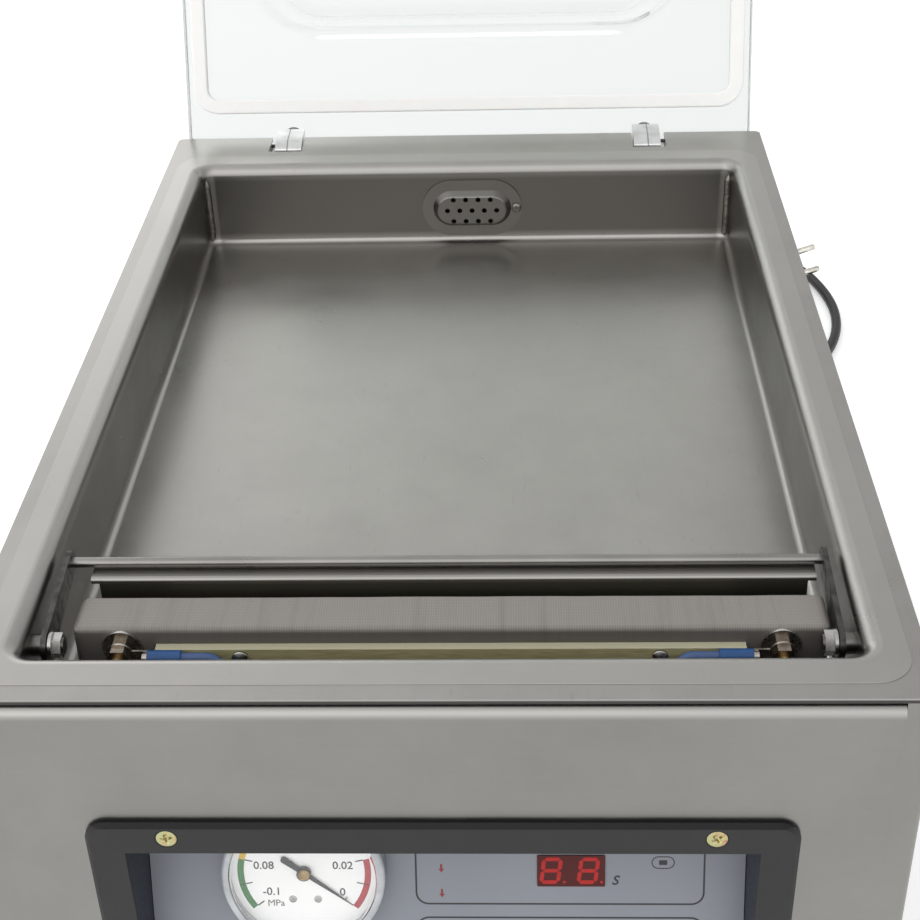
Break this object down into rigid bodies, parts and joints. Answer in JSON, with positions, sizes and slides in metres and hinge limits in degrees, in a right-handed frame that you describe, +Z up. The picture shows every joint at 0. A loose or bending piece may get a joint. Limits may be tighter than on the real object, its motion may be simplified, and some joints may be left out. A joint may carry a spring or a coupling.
{
  "type": "chamber vacuum sealer",
  "caption": "Tabletop chamber vacuum sealer: steel cabinet with a drawn chamber, clear domed lid on cast hinges, lifting seal bar, bag clamp, sloping panel with a vacuum gauge, mains cord.",
  "frame": {"origin": "on the table under the middle of the machine with its lid open", "axes": "+X to the right as the user sees it, +Y to the back, +Z up"},
  "size_m": [0.4467, 0.8941, 0.7008],
  "materials": {
    "stainless_sheet": "brushed",
    "steel_hardware": "satin",
    "black_rubber": "matt",
    "cast_aluminium": "cast",
    "milled_aluminium": "milled",
    "clear_acrylic": "polished",
    "white_silicone": "satin",
    "charcoal_plastic": "fine grain",
    "zinc_yellow": "passivated",
    "membrane_film": "satin",
    "red_window": "gloss",
    "bright_bezel": "polished",
    "dial_card": "matt",
    "needle_black": "satin",
    "circuit_board": "satin",
    "grey_iron": "painted",
    "fan_plastic": "matt",
    "bronze_bush": "satin",
    "terminal_brass": "satin",
    "glass_cloth": "woven, coated",
    "fibreglass": "cut sheet",
    "blue_sleeve": "satin",
    "lead_silicone": "matt",
    "hose_rubber": "matt",
    "cord_pvc": "satin",
    "tie_nylon": "satin"
  },
  "bodies": {
    "cabinet": {"base_plate": "stainless_sheet", "rubber_feet": "black_rubber", "side_panel_left": "stainless_sheet", "side_panel_right": "stainless_sheet", "front_panel": "stainless_sheet", "rear_panel": "stainless_sheet", "chamber_deck": "stainless_sheet", "suction_cover": "stainless_sheet", "suction_screw": "steel_hardware", "bag_rest": "stainless_sheet", "clamp_nuts": "steel_hardware", "hinge_brackets": "steel_hardware", "hinge_pins": "steel_hardware", "lift_cylinders": "cast_aluminium", "lift_bushes": "bronze_bush", "lead_grommets": "black_rubber", "console_frame": "charcoal_plastic", "console_screws": "zinc_yellow", "membrane_panel": "membrane_film", "display_window": "red_window", "gauge_case": "bright_bezel", "gauge_dial": "dial_card", "gauge_lens": "clear_acrylic", "control_board": "circuit_board", "vacuum_pump": "grey_iron", "pump_motor": "grey_iron", "pump_mounts": "black_rubber", "transformer": "grey_iron", "valve_block": "milled_aluminium", "vacuum_hose": "hose_rubber", "cord_gland": "cord_pvc", "cord_inlet": "cord_pvc", "cord_coil": "cord_pvc", "cord_tie": "tie_nylon", "mains_cord": "cord_pvc", "mains_plug": "cord_pvc", "plug_pins": "bright_bezel"},
    "lid": {"lid": "clear_acrylic", "lid_gasket": "white_silicone", "press_bar_holder": "cast_aluminium", "press_bar": "white_silicone", "hinge_arms": "cast_aluminium", "hinge_screws": "steel_hardware"},
    "bag_clamp": {"clamp_rod": "steel_hardware", "clamp_arms": "steel_hardware"},
    "seal_bar": {"seal_bar": "milled_aluminium", "heating_band": "terminal_brass", "seal_cloth": "glass_cloth", "cloth_strips": "fibreglass", "strip_screws": "steel_hardware", "terminal_studs": "terminal_brass", "terminal_nuts": "steel_hardware", "ring_terminals": "steel_hardware", "terminal_sleeves": "blue_sleeve", "seal_leads": "lead_silicone", "lift_rods": "steel_hardware"},
    "gauge_needle": {"gauge_needle": "needle_black"},
    "motor_fan": {"motor_fan": "fan_plastic"}
  },
  "joints": [
    {"name": "lid_hinge", "type": "hinge", "parent": "cabinet", "child": "lid", "pos_m": [0, 0.143, 0.2635], "axis": [-1, 0, 0], "range_deg": [-110, 0]},
    {"name": "bag_clamp_swing", "type": "hinge", "parent": "cabinet", "child": "bag_clamp", "pos_m": [0, -0.287, 0.258], "axis": [1, 0, 0], "range_deg": [0, 80]},
    {"name": "seal_bar_lift", "type": "slide", "parent": "cabinet", "child": "seal_bar", "axis": [0, 0, 1], "range_m": [0, 0.007], "stiffness_N_per_m": 400},
    {"name": "gauge_needle_turn", "type": "hinge", "parent": "cabinet", "child": "gauge_needle", "pos_m": [-0.0525, -0.30815, 0.16838], "axis": [0, -0.9584, 0.2853], "range_deg": [0, 256], "stiffness_Nm_per_rad": 0.0004},
    {"name": "motor_shaft", "type": "hinge", "parent": "cabinet", "child": "motor_fan", "pos_m": [-0.11, -0.03, 0.0958], "axis": [1, 0, 0], "continuous": true}
  ]
}
